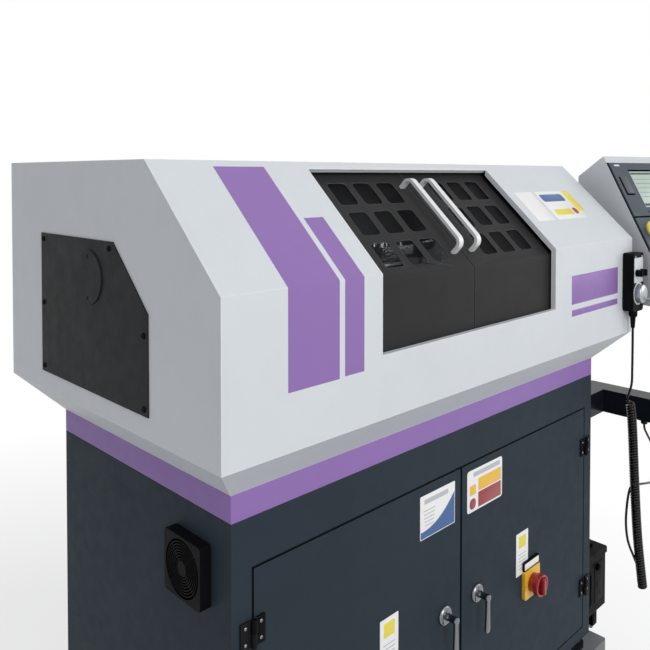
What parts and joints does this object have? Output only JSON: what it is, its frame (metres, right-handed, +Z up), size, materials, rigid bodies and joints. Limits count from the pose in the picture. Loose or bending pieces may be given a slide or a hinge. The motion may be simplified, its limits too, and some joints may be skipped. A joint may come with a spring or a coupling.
{
  "type": "cnc turning lathe",
  "caption": "Enclosed CNC turning lathe on a stand cabinet, with sloped sliding guard doors, windows, swivel control panel and a handwheel pendant on a coiled cord.",
  "frame": {"origin": "centre of the four anchor holes on the floor, under the middle of the cabinet", "axes": "+X right along the spindle, -Y towards the operator, +Z up"},
  "size_m": [2.1211, 1.0618, 1.647],
  "materials": {
    "light_paint": "satin powder coat",
    "slate_paint": "fine texture powder coat",
    "purple_paint": "satin powder coat",
    "charcoal_paint": "satin powder coat",
    "black_paint": "satin",
    "silver_paint": "satin",
    "white_handle": "satin",
    "grey_iron": "painted",
    "bed_iron": "painted, ground ways",
    "ground_steel": "ground",
    "zinc_steel": "zinc plated",
    "chrome": "polished",
    "smoked_pane": "smoked polycarbonate",
    "black_plastic": "fine texture",
    "slate_plastic": "satin",
    "yellow_plastic": "semi gloss",
    "red_plastic": "semi gloss",
    "belt_rubber": "matt",
    "cord_rubber": "satin"
  },
  "bodies": {
    "machine": {"cabinet_shell": "slate_paint", "foot_pads": "grey_iron", "levelling_legs": "black_paint", "chip_tray": "purple_paint", "enclosure_shell": "light_paint", "side_cover": "charcoal_paint", "bar_hole_cover": "charcoal_paint", "door_rails": "zinc_steel", "cabinet_hinges": "black_paint", "fan_guard": "black_plastic", "fan_frame": "black_plastic", "lubricator_tank": "black_plastic", "lubricator_head": "black_plastic", "electrical_panel": "silver_paint", "coolant_tank": "zinc_steel", "bed": "bed_iron", "headstock": "light_paint", "spindle_motor": "black_paint", "drive_belt": "belt_rubber", "feed_motor": "black_paint", "control_arm": "slate_paint", "pendant_hook": "zinc_steel", "pendant_body": "black_plastic", "cord_lead": "cord_rubber", "cord_coil": "cord_rubber", "cord_tail": "cord_rubber"},
    "left_guard": {"left_sliding_door": "charcoal_paint", "left_window_pane": "smoked_pane", "left_pull_handle": "white_handle"},
    "right_guard": {"right_sliding_door": "charcoal_paint", "right_window_pane": "smoked_pane", "right_pull_handle": "white_handle"},
    "left_door": {"left_cabinet_door": "slate_paint", "left_latch_rose": "chrome"},
    "left_latch": {"left_latch_lever": "chrome"},
    "right_door": {"right_cabinet_door": "slate_paint", "right_latch_rose": "chrome", "switch_plate": "yellow_plastic"},
    "right_latch": {"right_latch_lever": "chrome"},
    "main_switch": {"switch_knob": "red_plastic"},
    "fan_wheel": {"fan_impeller": "black_plastic"},
    "spindle_unit": {"spindle": "ground_steel", "chuck_body": "ground_steel"},
    "motor_drive": {"motor_pulley": "zinc_steel"},
    "jaw_1": {"chuck_jaw_1": "ground_steel"},
    "jaw_2": {"chuck_jaw_2": "ground_steel"},
    "jaw_3": {"chuck_jaw_3": "ground_steel"},
    "saddle": {"carriage": "bed_iron"},
    "tool_slide": {"cross_slide": "ground_steel"},
    "turret": {"turret_head": "ground_steel"},
    "z_screw": {"feed_screw": "ground_steel"},
    "tailstock": {"tailstock_body": "light_paint"},
    "quill": {"tailstock_quill": "ground_steel"},
    "panel": {"panel_housing": "silver_paint", "operator_unit": "slate_plastic", "panel_keys": "slate_plastic"},
    "stop": {"stop_button": "red_plastic"},
    "wheel": {"pendant_wheel": "zinc_steel"},
    "axis_knob": {"axis_selector": "black_plastic"},
    "rate_knob": {"rate_selector": "black_plastic"}
  },
  "joints": [
    {"name": "left_guard_slide", "type": "slide", "parent": "machine", "child": "left_guard", "axis": [-1, 0, 0], "range_m": [0, 0.305]},
    {"name": "right_guard_slide", "type": "slide", "parent": "machine", "child": "right_guard", "axis": [1, 0, 0], "range_m": [0, 0.305]},
    {"name": "left_door_hinge", "type": "hinge", "parent": "machine", "child": "left_door", "pos_m": [-0.674, -0.353, 0.487], "axis": [0, 0, -1], "range_deg": [0, 105]},
    {"name": "right_door_hinge", "type": "hinge", "parent": "machine", "child": "right_door", "pos_m": [0.678, -0.353, 0.487], "axis": [0, 0, 1], "range_deg": [0, 105]},
    {"name": "left_latch_turn", "type": "hinge", "parent": "left_door", "child": "left_latch", "pos_m": [-0.066, -0.346, 0.487], "axis": [0, 1, 0], "range_deg": [0, 90]},
    {"name": "right_latch_turn", "type": "hinge", "parent": "right_door", "child": "right_latch", "pos_m": [0.074, -0.346, 0.487], "axis": [0, -1, 0], "range_deg": [0, 90]},
    {"name": "main_switch_turn", "type": "hinge", "parent": "right_door", "child": "main_switch", "pos_m": [0.344, -0.346, 0.412], "axis": [0, 1, 0], "range_deg": [0, 90]},
    {"name": "fan_spin", "type": "hinge", "parent": "machine", "child": "fan_wheel", "pos_m": [-0.7, -0.221, 0.817], "axis": [1, 0, 0], "continuous": true},
    {"name": "spindle_spin", "type": "hinge", "parent": "machine", "child": "spindle_unit", "pos_m": [-0.5, 0.029, 1.368], "axis": [1, 0, 0], "continuous": true},
    {"name": "motor_spin", "type": "hinge", "parent": "machine", "child": "motor_drive", "pos_m": [-0.64, 0.29, 1.18], "axis": [1, 0, 0], "continuous": true},
    {"name": "jaw_1_slide", "type": "slide", "parent": "spindle_unit", "child": "jaw_1", "axis": [0, 0, 1], "range_m": [-0.005, 0.008]},
    {"name": "jaw_2_slide", "type": "slide", "parent": "spindle_unit", "child": "jaw_2", "axis": [0, -0.866, -0.5], "range_m": [-0.005, 0.008]},
    {"name": "jaw_3_slide", "type": "slide", "parent": "spindle_unit", "child": "jaw_3", "axis": [0, 0.866, -0.5], "range_m": [-0.005, 0.008]},
    {"name": "saddle_slide", "type": "slide", "parent": "machine", "child": "saddle", "axis": [1, 0, 0], "range_m": [-0.02, 0.25]},
    {"name": "tool_slide_travel", "type": "slide", "parent": "saddle", "child": "tool_slide", "axis": [0, 1, 0], "range_m": [-0.03, 0.08]},
    {"name": "turret_index", "type": "hinge", "parent": "tool_slide", "child": "turret", "pos_m": [-0.085, -0.15, 1.35], "axis": [0, 0, 1], "continuous": true},
    {"name": "z_screw_turn", "type": "hinge", "parent": "machine", "child": "z_screw", "pos_m": [0, -0.108, 1.2], "axis": [1, 0, 0], "continuous": true},
    {"name": "tailstock_slide", "type": "slide", "parent": "machine", "child": "tailstock", "axis": [1, 0, 0], "range_m": [0, 0.12]},
    {"name": "quill_travel", "type": "slide", "parent": "tailstock", "child": "quill", "axis": [-1, 0, 0], "range_m": [0, 0.05]},
    {"name": "panel_swivel", "type": "hinge", "parent": "machine", "child": "panel", "pos_m": [1.013, -0.48, 1.165], "axis": [0, 0, 1], "range_deg": [-60, 14]},
    {"name": "stop_press", "type": "slide", "parent": "panel", "child": "stop", "axis": [0.223, 0.8324, -0.5073], "range_m": [0, 0.005], "stiffness_N_per_m": 800},
    {"name": "wheel_turn", "type": "hinge", "parent": "machine", "child": "wheel", "pos_m": [0.775, -0.473, 1.21], "axis": [0, 1, 0], "continuous": true},
    {"name": "axis_select", "type": "hinge", "parent": "machine", "child": "axis_knob", "pos_m": [0.758, -0.473, 1.276], "axis": [0, 1, 0], "range_deg": [-60, 60]},
    {"name": "rate_select", "type": "hinge", "parent": "machine", "child": "rate_knob", "pos_m": [0.792, -0.473, 1.276], "axis": [0, 1, 0], "range_deg": [-60, 60]}
  ],
  "couplings": [
    {"joint": "motor_spin", "follows": "spindle_spin", "ratio": 1.3333},
    {"joint": "jaw_2_slide", "follows": "jaw_1_slide", "ratio": 1},
    {"joint": "jaw_3_slide", "follows": "jaw_1_slide", "ratio": 1},
    {"joint": "z_screw_turn", "follows": "saddle_slide", "rad_per_m": 1256.6}
  ]
}
